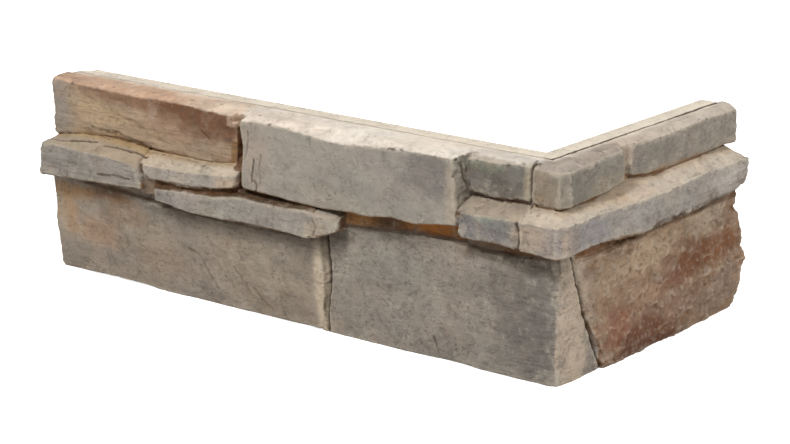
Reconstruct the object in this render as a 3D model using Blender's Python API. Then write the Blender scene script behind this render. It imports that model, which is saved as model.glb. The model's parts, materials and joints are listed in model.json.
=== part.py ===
# Corner panel of stone cladding: one L-shaped casting for the outside corner of a wall.
# Its inside is flat and lies against the wall. Its outside carries three courses of mock stones, which
# share one body with the slab behind them.
#
# While it is modelled, the inside corner of the back is at x = 0, y = 0 and the underside is at z = 0.
# The long leg runs towards -X and faces -Y. The short leg runs towards +Y and faces +X.
# At the end the panel is moved, so that its origin is the middle of the underside of its box.
# All sizes are in metres.

from math import cos, hypot, pi, sin, sqrt

import bmesh
import bpy
from mathutils import Vector, noise

# Slab behind the mock stones
HEIGHT = 0.1605
LONG_LEG = 0.4560
SHORT_LEG = 0.213
LONG_SLAB = 0.026
SHORT_SLAB = 0.021
END_RECESS = 0.003

# Hairline groove in the top, a fixed way in front of the flat back
GROOVE_FROM_BACK = 0.0150
GROOVE_WIDTH = 0.0012
GROOVE_DEPTH = 0.0015

# How the mock stones meet the slab and each other
HALF_JOINT = 0.0015
SINK = 0.006
SIDE_DRAFT = 0.0015

# The slab and the tops and bottoms of the big blocks run past the two planes that trim the panel
TRIM_ALLOWANCE = 0.004
BLOCK_OVERRUN = 0.0015

# The front edges of the top blocks stay a little below the flat top, and slope up to it
ERODED_TOP = 0.0015
TOP_SLOPE = 0.008

# Ends of the mock stones along the two legs, measured from the inside corner of the back
A1_START = -0.4555
A1_END = -0.2625
BRIDGE_START = -0.2720
BRIDGE_END = -0.2430
A2_START = -0.2460
A2_END = -0.0445
A3_START = -0.0520
A3_END = 0.0105
A4_START = -0.0470
A4_END = 0.0103
A5_START = 0.0120
A5_END = 0.0460
STRIP_START = 0.0430
STRIP_END = 0.0670
A6_START = 0.0630
B1_START = -0.4560
B1_END = -0.3465
B2_START = -0.3495
B2_END = -0.2505
B3_START = -0.3330
B3_END = -0.1485
B4_START = -0.0420
B4_END = 0.0088
B5_START = 0.0100
C1_START = -0.4585
C1_END = -0.1755
C2_START = -0.1725
C2_END = 0.0197
C3_START = 0.0227

# Level joints, as shares of the height, measured from the underside
BRIDGE_BOTTOM = 0.9159 * HEIGHT
BED_C1_B1 = 0.5078 * HEIGHT
BED_C1_B3 = 0.4673 * HEIGHT
BED_C2_B4 = 0.6075 * HEIGHT
BED_C3_B5 = 0.5701 * HEIGHT
BED_B3_B2 = 0.5950 * HEIGHT
BED_B3_A2 = 0.6324 * HEIGHT
BED_B1_A1 = 0.7103 * HEIGHT
BED_B4_A3 = 0.7726 * HEIGHT
BED_A3_A4 = 0.8131 * HEIGHT
BED_B5_A5 = 0.8069 * HEIGHT
BED_B5_A6 = 0.7913 * HEIGHT

# How far each face stands out from the flat back
FACE_A1 = 0.0410
FACE_A2 = 0.0505
FACE_A3 = 0.0295
FACE_A4 = 0.0340
FACE_A5_LONG = 0.0360
FACE_A5_SHORT = 0.0380
FACE_A5_END = 0.0360
FACE_A6 = 0.0305
FACE_A1_A2_BRIDGE = 0.0370
FACE_A5_A6_STRIP = 0.0275
FACE_B1 = 0.0570
FACE_B2 = 0.0525
FACE_B3 = 0.0545
FACE_B4 = 0.0500
FACE_B5_LONG = 0.0500
FACE_B5_SHORT = 0.0460
FACE_B5_END = 0.0425
FACE_C1 = 0.0380
FACE_C2_LONG = 0.0345
FACE_C2_SHORT = 0.0355
FACE_C3 = 0.0375

# Rounding of the mock stones
BLOCK_EDGE = 0.0026
LEDGE_EDGE = 0.0030
FILLER_EDGE = 0.0020
WRAP_RADIUS = 0.0090

# Size of the facets that a mock stone is drawn with, and of its unevenness
CELL = 0.0095
SWELL = 0.0450
RIM_STEPS = (0.0, 0.3, 1.0)

STONE_COLOUR = (0.33, 0.29, 0.24, 1.0)


def clear_scene():
    for thing in list(bpy.data.objects):
        bpy.data.objects.remove(thing, do_unlink=True)


def new_object(name, mesh_builder):
    """Close a bmesh into a mesh object of its own."""
    bmesh.ops.recalc_face_normals(mesh_builder, faces=mesh_builder.faces)
    mesh = bpy.data.meshes.new(name)
    mesh_builder.to_mesh(mesh)
    mesh_builder.free()
    thing = bpy.data.objects.new(name, mesh)
    bpy.context.scene.collection.objects.link(thing)
    return thing


def prism(name, outline, bottom, top):
    """An upright prism over a plan outline."""
    builder = bmesh.new()
    lower = [builder.verts.new((x, y, bottom)) for x, y in outline]
    upper = [builder.verts.new((x, y, top)) for x, y in outline]
    builder.faces.new(lower)
    builder.faces.new(upper)
    for here in range(len(outline)):
        there = (here + 1) % len(outline)
        builder.faces.new((lower[here], lower[there], upper[there], upper[here]))
    return new_object(name, builder)


def along_long_leg(start, end, depth):
    """A face on the long leg: its length, the plan point at a distance along it, and its seat."""
    def place(distance, inset):
        return start + distance, inset - depth

    def seat(distance):
        return start + distance, SINK - LONG_SLAB
    return end - start, place, seat


def along_short_leg(start, end, depth):
    """A face on the short leg."""
    def place(distance, inset):
        return depth - inset, start + distance

    def seat(distance):
        return SHORT_SLAB - SINK, start + distance
    return end - start, place, seat


def round_the_corner(start, end, long_depth, short_depth, end_depth=None):
    """A face that starts on the long leg, turns the corner and ends on the short leg."""
    before = short_depth - start - WRAP_RADIUS
    turn = WRAP_RADIUS * pi / 2
    after = end + long_depth - WRAP_RADIUS
    change = 0.0 if end_depth is None else end_depth - short_depth
    length = before + turn + after
    corner_x = SHORT_SLAB - SINK
    corner_y = SINK - LONG_SLAB
    mitre = before + turn / 2

    def place(distance, inset):
        if distance < before:
            return start + distance, inset - long_depth
        if distance < before + turn:
            angle = (distance - before) / WRAP_RADIUS
            reach = WRAP_RADIUS - inset
            centre_x = short_depth - WRAP_RADIUS
            centre_y = WRAP_RADIUS - long_depth
            return centre_x + reach * sin(angle), centre_y - reach * cos(angle)
        rest = distance - before - turn
        depth = short_depth + change * rest / after
        return depth - inset, WRAP_RADIUS - long_depth + rest

    def seat(distance):
        if distance < mitre:
            return start + (corner_x - start) * distance / mitre, corner_y
        return corner_x, corner_y + (end - corner_y) * (distance - mitre) / (length - mitre)
    return length, place, seat


def read_line(offsets, share):
    """The offset at a share of the way along an edge whose offsets are evenly spaced."""
    if len(offsets) == 1:
        return offsets[0]
    position = min(max(share, 0.0), 1.0) * (len(offsets) - 1)
    first = min(int(position), len(offsets) - 2)
    return offsets[first] + (offsets[first + 1] - offsets[first]) * (position - first)


def quarter_round(distance, radius):
    """How far a quarter-round edge has dropped at a distance from its rim."""
    near = max(0.0, 1.0 - distance / radius)
    return radius * (1.0 - sqrt(1.0 - min(1.0, near * near)))


def steps_across(length, edge):
    """Distances across a stone: close steps round each edge, even steps between."""
    rim = [edge * step for step in RIM_STEPS]
    count = max(1, round((length - 2 * edge) / CELL))
    middle = [edge + (length - 2 * edge) * step / count for step in range(1, count)]
    return rim + middle + [length - distance for distance in reversed(rim)]


def mock_stone(name, face, low, high, edge=BLOCK_EDGE, low_line=(0.0,), high_line=(0.0,),
               start_line=(0.0,), end_line=(0.0,), low_draft=SIDE_DRAFT, high_draft=SIDE_DRAFT,
               draft_line=(0.0,), end_draft=SIDE_DRAFT, lean=0.0, belly=0.0, end_profile=(0.0,),
               uneven=0.0012, seed=0.0):
    """A stone with four wavy edges, rounded to an uneven face, whose sides run back into the slab.

    The lines are offsets, evenly spaced, from left to right or from the bottom up. The drafts are how far
    a side spreads on its way back, and draft_line adds to the top's from left to right. lean is how much
    further the top of the face stands out than its bottom, belly how far its middle swells, and
    end_profile how far its far end stands out, bottom up.
    """
    length, place, seat = face
    height = high - low
    edge = min(edge, length / 4, height / 4)
    across = steps_across(length, edge)
    upward = steps_across(height, edge)
    builder = bmesh.new()
    front = []
    back = []
    for distance in across:
        share = distance / length
        bottom = low + read_line(low_line, share)
        top = high + read_line(high_line, share)
        rise_back = high_draft + read_line(draft_line, share)
        corner = quarter_round(min(distance, length - distance), min(edge, (top - bottom) / 3))
        bottom += corner
        top -= corner
        front_column = []
        back_column = []
        for rise in upward:
            lift = rise / height
            z = bottom + (top - bottom) * lift
            level = (z - low) / height
            start_shift = read_line(start_line, level) * (1.0 - share)
            end_shift = read_line(end_line, level) * share
            along = distance + start_shift + end_shift
            side_near = max(0.0, 1.0 - min(distance, length - distance) / edge)
            rise_near = max(0.0, 1.0 - min(rise, height - rise) / edge)
            near = min(1.0, hypot(side_near, rise_near))
            drop = edge * (1.0 - sqrt(1.0 - near * near))
            swell = belly * sin(pi * share) * sin(pi * lift) + lean * (lift - 0.5)
            swell += read_line(end_profile, level) * share * share
            wave = uneven * noise.noise(Vector((along / SWELL, z / SWELL, seed)))
            x, y = place(along, drop - swell - wave)
            front_column.append(builder.verts.new((x, y, z)))
            root_x, root_y = seat(along - SIDE_DRAFT * (1.0 - share) + end_draft * share)
            root_z = z - low_draft * (1.0 - lift) + rise_back * lift
            back_column.append(builder.verts.new((root_x, root_y, root_z)))
        front.append(front_column)
        back.append(back_column)
    columns = len(across) - 1
    rows = len(upward) - 1
    for column in range(columns):
        for row in range(rows):
            for sheet in (front, back):
                builder.faces.new((sheet[column][row], sheet[column + 1][row],
                                   sheet[column + 1][row + 1], sheet[column][row + 1]))
        for row in (0, rows):
            builder.faces.new((front[column][row], front[column + 1][row],
                               back[column + 1][row], back[column][row]))
    for row in range(rows):
        for column in (0, columns):
            builder.faces.new((front[column][row], front[column][row + 1],
                               back[column][row + 1], back[column][row]))
    bmesh.ops.triangulate(builder, faces=builder.faces)
    return new_object(name, builder)


def top_course():
    """The big blocks under the flat top, and the filling between them."""
    top = HEIGHT - ERODED_TOP
    mock_stone("A1", along_long_leg(A1_START, A1_END, FACE_A1), BED_B1_A1 + HALF_JOINT, top,
               high_draft=TOP_SLOPE, end_draft=0.004, lean=0.001, seed=1.0,
               low_line=(-0.002, 0.0, 0.002, 0.0035, 0.0035, 0.001, 0.0005, 0.0005, -0.001, -0.003),
               high_line=(0.001, 0.0, 0.0, -0.0005, 0.0, -0.001, -0.003),
               start_line=(0.001, 0.0005, 0.002, 0.002, 0.0, 0.0), end_line=(0.001, -0.001, -0.001, 0.001))
    mock_stone("A1_A2_bridge", along_long_leg(BRIDGE_START, BRIDGE_END, FACE_A1_A2_BRIDGE),
               BRIDGE_BOTTOM, top - ERODED_TOP, edge=FILLER_EDGE, high_draft=TOP_SLOPE, seed=7.0)
    mock_stone("A2", along_long_leg(A2_START, A2_END, FACE_A2), BED_B3_A2 + HALF_JOINT, top,
               high_draft=TOP_SLOPE, low_draft=0.003, belly=0.0015, seed=2.0,
               low_line=(0.0005, 0.0, -0.0005, -0.002, -0.002, -0.0005, -0.0005, 0.003, 0.0015, 0.0045,
                         0.0065),
               high_line=(-0.002, 0.0, -0.0005, -0.0015, -0.0035, -0.004, -0.002, -0.0005, 0.0, 0.0005,
                          0.0005),
               start_line=(0.0, 0.0005, 0.003, 0.001, -0.001), end_line=(0.0035, 0.002, 0.0, -0.0005, 0.0))
    mock_stone("A3", along_long_leg(A3_START, A3_END, FACE_A3), BED_B4_A3, top,
               edge=FILLER_EDGE, high_draft=TOP_SLOPE, uneven=0.0025, seed=3.0)
    mock_stone("A4", along_long_leg(A4_START, A4_END, FACE_A4), BED_A3_A4 + HALF_JOINT, top,
               high_draft=TOP_SLOPE, edge=FILLER_EDGE, uneven=0.002, seed=4.0,
               low_line=(0.0, -0.001, -0.0015, 0.0, 0.0005), high_line=(-0.0025, -0.0015, 0.0),
               start_line=(0.0035, 0.003, 0.001, -0.001, 0.0))
    mock_stone("A5", round_the_corner(A5_START, A5_END, FACE_A5_LONG, FACE_A5_SHORT, FACE_A5_END),
               BED_B5_A5 + HALF_JOINT, top, high_draft=TOP_SLOPE, lean=-0.001, seed=5.0,
               low_line=(0.0015, 0.0, 0.0, 0.0005, 0.0, 0.0, 0.0, 0.0015, 0.0045),
               high_line=(0.0, -0.0015, -0.002, 0.0, 0.0))
    mock_stone("A5_A6_strip", along_short_leg(STRIP_START, STRIP_END, FACE_A5_A6_STRIP),
               BED_B5_A6 + HALF_JOINT, top, edge=FILLER_EDGE, high_draft=TOP_SLOPE, seed=8.0)
    mock_stone("A6", along_short_leg(A6_START, SHORT_LEG, FACE_A6), BED_B5_A6 + HALF_JOINT, top,
               high_draft=TOP_SLOPE, seed=6.0,
               low_line=(0.006, 0.0025, 0.001, 0.0005, 0.0015, 0.0025, 0.003, 0.002),
               high_line=(0.0, -0.001, -0.002, -0.001, 0.0, -0.001, -0.001),
               end_line=(0.002, 0.0015, 0.0015, 0.001, 0.0005))


def ledge_course():
    """The narrow stones that stand proud between the big ones. Their tops slope back to the wall."""
    mock_stone("B1", along_long_leg(B1_START, B1_END, FACE_B1),
               BED_C1_B1 + HALF_JOINT, BED_B1_A1 - HALF_JOINT, edge=LEDGE_EDGE, low_draft=0.003,
               high_draft=0.018, draft_line=(-0.014, -0.005, 0.0, 0.0, 0.0), seed=11.0,
               low_line=(-0.001, 0.0, 0.002, 0.003, 0.0045),
               high_line=(-0.002, -0.001, -0.0015, -0.002, -0.005),
               start_line=(-0.002, 0.0, 0.003), end_line=(0.004, -0.001, -0.008))
    mock_stone("B2", along_long_leg(B2_START, B2_END, FACE_B2),
               BED_B3_B2 + HALF_JOINT, BED_B1_A1 - HALF_JOINT, edge=LEDGE_EDGE, low_draft=0.002,
               high_draft=0.018, seed=12.0,
               low_line=(-0.001, -0.0015, -0.0005, 0.0015, 0.006),
               high_line=(-0.004, -0.0035, -0.003, -0.001, 0.002), start_line=(0.006, 0.001, 0.0))
    mock_stone("B3", along_long_leg(B3_START, B3_END, FACE_B3),
               BED_C1_B3 + HALF_JOINT, BED_B3_A2 - HALF_JOINT, edge=LEDGE_EDGE, low_draft=0.004,
               high_draft=0.001, end_draft=-0.012, seed=13.0,
               low_line=(0.0035, 0.001, 0.0, 0.0005, 0.0015, 0.001, 0.0005, 0.011),
               high_line=(-0.007, -0.004, -0.0035, 0.0, -0.002, 0.0, -0.001, -0.003))
    mock_stone("B4", along_long_leg(B4_START, B4_END, FACE_B4),
               BED_C2_B4 + HALF_JOINT, BED_B4_A3 - HALF_JOINT, edge=LEDGE_EDGE, low_draft=0.003,
               high_draft=0.0105, uneven=0.0018, seed=14.0,
               low_line=(0.002, 0.0025, 0.0025), high_line=(-0.001, 0.0, 0.001))
    mock_stone("B5", round_the_corner(B5_START, SHORT_LEG, FACE_B5_LONG, FACE_B5_SHORT, FACE_B5_END),
               BED_C3_B5 + HALF_JOINT, BED_B5_A5 - HALF_JOINT, edge=LEDGE_EDGE, low_draft=0.003,
               high_draft=0.017, draft_line=(0.0, 0.0, 0.0, 0.0, 0.0, 0.0, 0.0, 0.0, 0.0, -0.002, -0.011),
               uneven=0.0015, seed=15.0,
               low_line=(0.0085, 0.0065, 0.006, 0.0075, 0.0035, 0.001, 0.001, 0.0015, 0.0025, 0.002, 0.0085),
               high_line=(-0.0045, -0.004, -0.004, -0.0045, -0.0065, -0.006, -0.007, -0.0055, -0.005, -0.006,
                          -0.005),
               end_line=(-0.014, -0.003, 0.001, 0.0, -0.006))


def bottom_course():
    """The big blocks that the panel stands on. Their bottoms run down past the plane that trims them."""
    bottom = -BLOCK_OVERRUN
    mock_stone("C1", along_long_leg(C1_START, C1_END, FACE_C1), bottom, BED_C1_B1 - HALF_JOINT,
               low_draft=TRIM_ALLOWANCE, lean=0.006, uneven=0.0016, seed=21.0,
               low_line=(0.0015, 0.002, 0.003, 0.0025, 0.001, 0.0015, 0.0015, 0.0018, 0.002, 0.0025),
               high_line=(0.0, -0.001, -0.003, -0.004, -0.0065, -0.0075, -0.008, -0.008, -0.007, -0.006),
               start_line=(0.001, 0.0, -0.0005, 0.0, 0.0), end_line=(-0.003, 0.001, 0.0015, 0.0, -0.001))
    joint_slope = (0.0, -0.003, -0.014, -0.022, -0.028, -0.034, -0.039)
    mock_stone("C2", round_the_corner(C2_START, C2_END, FACE_C2_LONG, FACE_C2_SHORT),
               bottom, BED_C2_B4 - HALF_JOINT, low_draft=TRIM_ALLOWANCE, lean=0.001, uneven=0.0016,
               seed=22.0, low_line=(-0.002, -0.003, 0.0, 0.0015, 0.0018, 0.0018, 0.0015, 0.001, 0.0, 0.0),
               high_line=(-0.012, -0.009, -0.0065, -0.0045, -0.002, -0.003, -0.005, -0.004, -0.002, -0.002),
               start_line=(-0.003, 0.001, 0.0015, 0.0, -0.001), end_line=joint_slope)
    mock_stone("C3", along_short_leg(C3_START, SHORT_LEG, FACE_C3), bottom, BED_C3_B5 - HALF_JOINT,
               low_draft=TRIM_ALLOWANCE, uneven=0.0025, seed=23.0,
               high_line=(0.0, -0.001, 0.0, -0.002, -0.003, -0.001, 0.0, -0.0005),
               start_line=joint_slope, end_line=(-0.004, 0.0005, 0.0035, 0.004, 0.002, 0.0005, -0.006),
               end_profile=(-0.003, -0.001, 0.001, 0.004, -0.0005, 0.002, -0.002, -0.008))


def slab():
    """The L-shaped slab, taller than the panel until it is trimmed."""
    outline = [(END_RECESS - LONG_LEG, 0.0), (0.0, 0.0), (0.0, SHORT_LEG - END_RECESS),
               (SHORT_SLAB, SHORT_LEG - END_RECESS), (SHORT_SLAB, -LONG_SLAB),
               (END_RECESS - LONG_LEG, -LONG_SLAB)]
    return prism("cladding_corner", outline, -TRIM_ALLOWANCE, HEIGHT + TRIM_ALLOWANCE)


def trimming_block():
    """What stays of the panel between its underside and its top."""
    reach = LONG_LEG + SHORT_LEG
    outline = [(-reach, -reach), (reach, -reach), (reach, reach), (-reach, reach)]
    return prism("trimming_block", outline, 0.0, HEIGHT)


def groove_cutter():
    """A thin L that follows the flat back from end to end."""
    near = GROOVE_FROM_BACK - GROOVE_WIDTH / 2
    far = GROOVE_FROM_BACK + GROOVE_WIDTH / 2
    left = -LONG_LEG - SINK
    right = SHORT_LEG + SINK
    outline = [(left, -far), (far, -far), (far, right), (near, right), (near, -near), (left, -near)]
    return prism("groove_cutter", outline, HEIGHT - GROOVE_DEPTH, HEIGHT + GROOVE_DEPTH)


def add_boolean(thing, operation, other):
    step = thing.modifiers.new(operation.lower(), "BOOLEAN")
    step.operation = operation
    step.solver = "EXACT"
    if isinstance(other, bpy.types.Collection):
        step.operand_type = "COLLECTION"
        step.collection = other
    else:
        step.object = other


def cast_stone():
    material = bpy.data.materials.new("cast_stone")
    material.use_nodes = True
    shader = material.node_tree.nodes["Principled BSDF"]
    shader.inputs["Base Color"].default_value = STONE_COLOUR
    shader.inputs["Roughness"].default_value = 0.9
    shader.inputs["Metallic"].default_value = 0.0
    return material


def settle(panel):
    """Keep the finished mesh alone, with its origin at the middle of the underside of its box."""
    evaluated = panel.evaluated_get(bpy.context.evaluated_depsgraph_get())
    builder = bmesh.new()
    builder.from_mesh(evaluated.to_mesh())
    for thing in list(bpy.data.objects):
        bpy.data.objects.remove(thing, do_unlink=True)
    bmesh.ops.remove_doubles(builder, verts=builder.verts, dist=2e-5)
    bmesh.ops.dissolve_degenerate(builder, edges=builder.edges, dist=1e-5)
    bmesh.ops.triangulate(builder, faces=builder.faces)
    lowest = [min(vert.co[axis] for vert in builder.verts) for axis in range(3)]
    highest = [max(vert.co[axis] for vert in builder.verts) for axis in range(3)]
    middle = Vector(((lowest[0] + highest[0]) / 2, (lowest[1] + highest[1]) / 2, lowest[2]))
    bmesh.ops.translate(builder, verts=builder.verts, vec=-middle)
    print("inside corner of the back at", [round(-value, 5) for value in middle])
    settled = new_object("cladding_corner", builder)
    settled.data.materials.append(cast_stone())
    return settled


def main():
    clear_scene()
    top_course()
    ledge_course()
    bottom_course()
    stones = bpy.data.collections.new("mock_stones")
    bpy.context.scene.collection.children.link(stones)
    for stone in list(bpy.context.scene.collection.objects):
        bpy.context.scene.collection.objects.unlink(stone)
        stones.objects.link(stone)
    panel = slab()
    add_boolean(panel, "UNION", stones)
    add_boolean(panel, "INTERSECT", trimming_block())
    add_boolean(panel, "DIFFERENCE", groove_cutter())
    settle(panel)


main()
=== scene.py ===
import itertools
import json
import math

import bmesh
import bpy
import numpy as np
from mathutils import Euler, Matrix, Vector


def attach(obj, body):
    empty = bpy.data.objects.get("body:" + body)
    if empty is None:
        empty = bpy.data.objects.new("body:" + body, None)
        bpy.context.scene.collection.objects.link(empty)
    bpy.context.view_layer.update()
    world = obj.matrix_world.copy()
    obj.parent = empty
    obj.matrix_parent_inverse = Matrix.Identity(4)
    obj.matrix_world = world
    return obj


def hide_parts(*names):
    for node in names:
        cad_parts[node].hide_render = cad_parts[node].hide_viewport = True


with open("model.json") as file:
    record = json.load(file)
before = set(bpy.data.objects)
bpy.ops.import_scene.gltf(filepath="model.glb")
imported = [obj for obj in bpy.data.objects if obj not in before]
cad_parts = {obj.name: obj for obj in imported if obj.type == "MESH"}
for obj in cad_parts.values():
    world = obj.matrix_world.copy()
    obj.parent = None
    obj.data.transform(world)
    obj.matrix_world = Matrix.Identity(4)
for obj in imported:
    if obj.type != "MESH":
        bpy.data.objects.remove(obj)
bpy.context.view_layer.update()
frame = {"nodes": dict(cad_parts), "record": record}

MM = 0.001

# Where the inside corner of the flat back stands, how high the panel is, and how far from the back the faces
# stand at the outside corner
MOUNTS = {mount["name"]: mount["pos_m"] for mount in frame["record"]["mounts"]}
CORNER_X = MOUNTS["back_short"][0]
CORNER_Y = MOUNTS["back_long"][1]
HEIGHT = MOUNTS["top"][2]
TURN = 0.036

# Fineness of the surface: size of its cells, the steepest smooth edge in degrees, and the most triangles
VOXEL = 0.00105
SHARP_ANGLE = 48
MOST_TRIANGLES = 190000

# The hairline groove in the top: its distance from the back, half its width and its depth
GROOVE_FROM_BACK = 0.0150
GROOVE_HALF = 0.00045
GROOVE_DEPTH = 0.0013

# The slab behind the stones: its front, and where the chip at the top of its left end starts
SLAB_FRONT = 0.0150
CHIP_START = -0.4445

# Each mock stone: ends along the panel, bottom, top and depth of its face in millimetres, then the lines of
# its lower and upper edges as offsets
STONES = {
    "A1": (-455.5, -262.5, 115.5, 159, 41,
           (-2, 0, 2, 3.5, 3.5, 0.5, 0.5, -1, -3), (0,)),
    "A2": (-246, -44.5, 103, 159, 50.5,
           (0.5, 0, -0.5, -2, -2, -0.5, 3, 1.5, 4.5, 6.5), (0,)),
    "A3": (-52, 10.5, 124, 159, 29.5, (0,), (0,)),
    "A4": (-47, 10.3, 132, 159, 34, (0,), (0,)),
    "A5": (12, 118, 131, 159, 36, (0,), (0,)),
    "A6": (135, 285, 128.5, 159, 30.5, (6, 2.5, 1, 0.5, 1.5, 3, 2), (0,)),
    "B1": (-456, -346.5, 83, 112.5, 57, (-1, 0, 2, 3, 4.5), (-2, -1, -1.5, -2, -5)),
    "B2": (-349.5, -250.5, 97, 112.5, 52.5, (-1, -1.5, -0.5, 1.5, 6), (-4, -3.5, -3, -1, 2)),
    "B3": (-333, -148.5, 76.5, 100, 54.5,
           (3.5, 1, 0, 0.5, 1.5, 1, 0.5, 11), (-7, -4, -3.5, 0, -2, 0, -1, -3)),
    "B4": (-42, 9, 99, 122.5, 50, (2, 2.5, 2.5), (-1, 0, 1)),
    "B5": (10, 285, 93, 128, 47, (8.5, 6.5, 6, 7.5, 3.5, 1, 1.5, 2.5, 2, 8.5),
           (-4.5, -4, -4, -4.5, -6.5, -7, -5.5, -5, -6, -5)),
    "C1": (-458.5, -175.5, -3, 80, 38, (0,), (0, -1, -3, -4, -6.5, -8, -8, -7, -6)),
    "C2": (-172.5, 91.7, -3, 96, 35, (0,), (-12, -9, -6.5, -4.5, -2, -5, -4, -2, -2)),
    "C3": (94.7, 285, -3, 90, 37.5, (0,), (0, -1, 0, -2, -3, 0, -0.5)),
}
NAMES = list(STONES)
FACE_DEPTH = np.array([STONES[name][4] for name in NAMES])

# How far the joint before the crumbly stone leans left, in even steps from the underside to the top of it
JOINT_SLOPE = (0, -3, -14, -22, -28, -34, -39)
JOINT_TOP = 97

# The narrow stones, with the heights between which upward faces are theirs
LEDGES = (("B1", 100, 124), ("B2", 106, 124), ("B3", 86, 104), ("B4", 110, 136), ("B5", 108, 134))

# The ends of the slab's visible front along the panel
LEFT_END = -452
RIGHT_END = 282

# How rough each stone is, in millimetres: broad swells, level layers, grain, and flaking at its edges
ROUGHNESS = {
    "A1": (0.9, 0.55, 0.22, 0.9),
    "A2": (0.7, 0.15, 0.16, 1.0),
    "A3": (0.6, 0.20, 0.55, 0.6),
    "A4": (0.7, 0.30, 0.28, 0.8),
    "A5": (0.5, 0.15, 0.20, 0.6),
    "A6": (0.6, 0.25, 0.22, 0.7),
    "B1": (0.5, 0.60, 0.22, 0.8),
    "B2": (0.6, 0.30, 0.22, 0.9),
    "B3": (0.6, 0.40, 0.22, 1.0),
    "B4": (0.8, 0.30, 0.40, 1.1),
    "B5": (0.7, 0.35, 0.36, 1.1),
    "C1": (1.0, 0.25, 0.20, 0.9),
    "C2": (0.9, 0.25, 0.18, 0.9),
    "C3": (2.0, 0.25, 0.60, 1.5),
}

# How far a crack's slopes reach, as a share of its width. Then, in millimetres, how far cracks and folds
# wander, half the width of a fold's slope, and how soon folds run out at their ends
CRACK_REACH = 1.25
CRACK_WANDER = 0.8
FOLD_WANDER = 2.5
FOLD_EDGE = 1.8
FOLD_END = 6

# Cracks in the faces: points along the panel and up it, then width and depth in millimetres, and how
# dark they look
FACE_CRACKS = [
    (((-231.5, 129), (-233, 120), (-234, 111)), 0.8, 1.0, 0.75),
    (((-231, 113), (-229.5, 108), (-230.5, 103)), 0.7, 1.0, 0.6),
    (((-224, 134), (-226, 124), (-225, 112)), 0.7, 0.5, 0.35),
    (((-237, 150), (-238, 138), (-240, 128)), 0.8, 0.6, 0.4),
    (((-293, 139.5), (-288, 137.5), (-285, 134.5)), 0.8, 0.8, 0.6),
    (((-412, 125.5), (-400, 124), (-385, 124.5), (-366, 121), (-348, 119)), 0.8, 0.9, 0.5),
    (((-375, 122), (-350, 117), (-332, 115), (-300, 112)), 0.8, 0.9, 0.45),
    (((-391, 93), (-374, 94.5), (-357, 94)), 0.8, 0.8, 0.6),
    (((-311, 41), (-303, 38), (-297, 33), (-289, 22), (-283, 14)), 1.8, 1.1, 0.12),
    (((-264, 35), (-258, 28), (-253, 22)), 1.6, 0.8, 0.10),
    (((-245, 21), (-237, 13), (-229, 7)), 1.5, 0.8, 0.10),
    (((-74, 17), (-71, 12), (-69.5, 6)), 0.8, 0.8, 0.5),
    (((9, 124), (9.3, 115), (11.2, 112), (10, 100)), 1.1, 2.6, 0.9),
    (((-172, 94), (-168, 88), (-172, 80)), 1.0, 0.8, 0.3),
    (((11.2, 161), (11.3, 148), (12, 138), (13.5, 132), (18, 130.3), (34, 129.5)), 1.25, 2.4, 1.0),
    (((94, 0), (86, 16), (78, 32), (69, 48), (63, 64), (56.5, 80), (53, 95)), 1.3, 2.4, 0.95),
    (((-173.2, 1), (-174.2, 20), (-171, 42), (-172, 60), (-174.6, 78)), 1.6, 3.0, 1.0),
]

# Cracks in the corner beside the tall stone: points along the panel, in front of the back and up
DEEP_CRACKS = [
    (((-44, 42, 153), (-44.5, 38, 143), (-43, 34, 135), (-40, 33.5, 131)), 1.5, 3.0, 1.0),
    (((-40, 33.5, 131), (-26, 33, 129.5), (-10, 33, 130), (7, 33, 131.5)), 1.3, 2.0, 0.9),
]

# Folds in the faces: points along the panel and up it, how far one side stands out and how soon it fades
FOLDS = [
    (((-322, 46), (-311, 41), (-297, 33), (-284, 14)), 0.9, 14),
    (((-300, 62), (-275, 44), (-253, 23), (-240, 8)), 0.7, 14),
    (((-440, 60), (-420, 48), (-396, 44)), 0.6, 12),
    (((-165, 62), (-140, 55), (-110, 58)), 0.5, 12),
    (((-60, 44), (-30, 30), (10, 26)), 0.5, 14),
    (((-335, 133), (-310, 127), (-280, 124)), 0.5, 9),
    (((-415, 150), (-380, 140), (-345, 131), (-310, 120)), 0.7, 12),
    (((118, 70), (150, 60), (185, 68), (215, 58)), 1.0, 12),
    (((140, 40), (170, 28), (200, 30), (240, 40)), 1.0, 12),
]

# Cracks in upward faces: points along the panel and in front of the back
TOP_CRACKS = [
    (((-452, 51), (-425, 49.5), (-400, 46.5)), 0.8, 0.9, 0.75),
    (((-392, 47.5), (-368, 46.5), (-347, 44.5)), 0.8, 0.9, 0.7),
    (((12.5, 36), (9, 26), (5, 15), (-1, 2)), 1.0, 1.4, 0.85),
]

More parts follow.
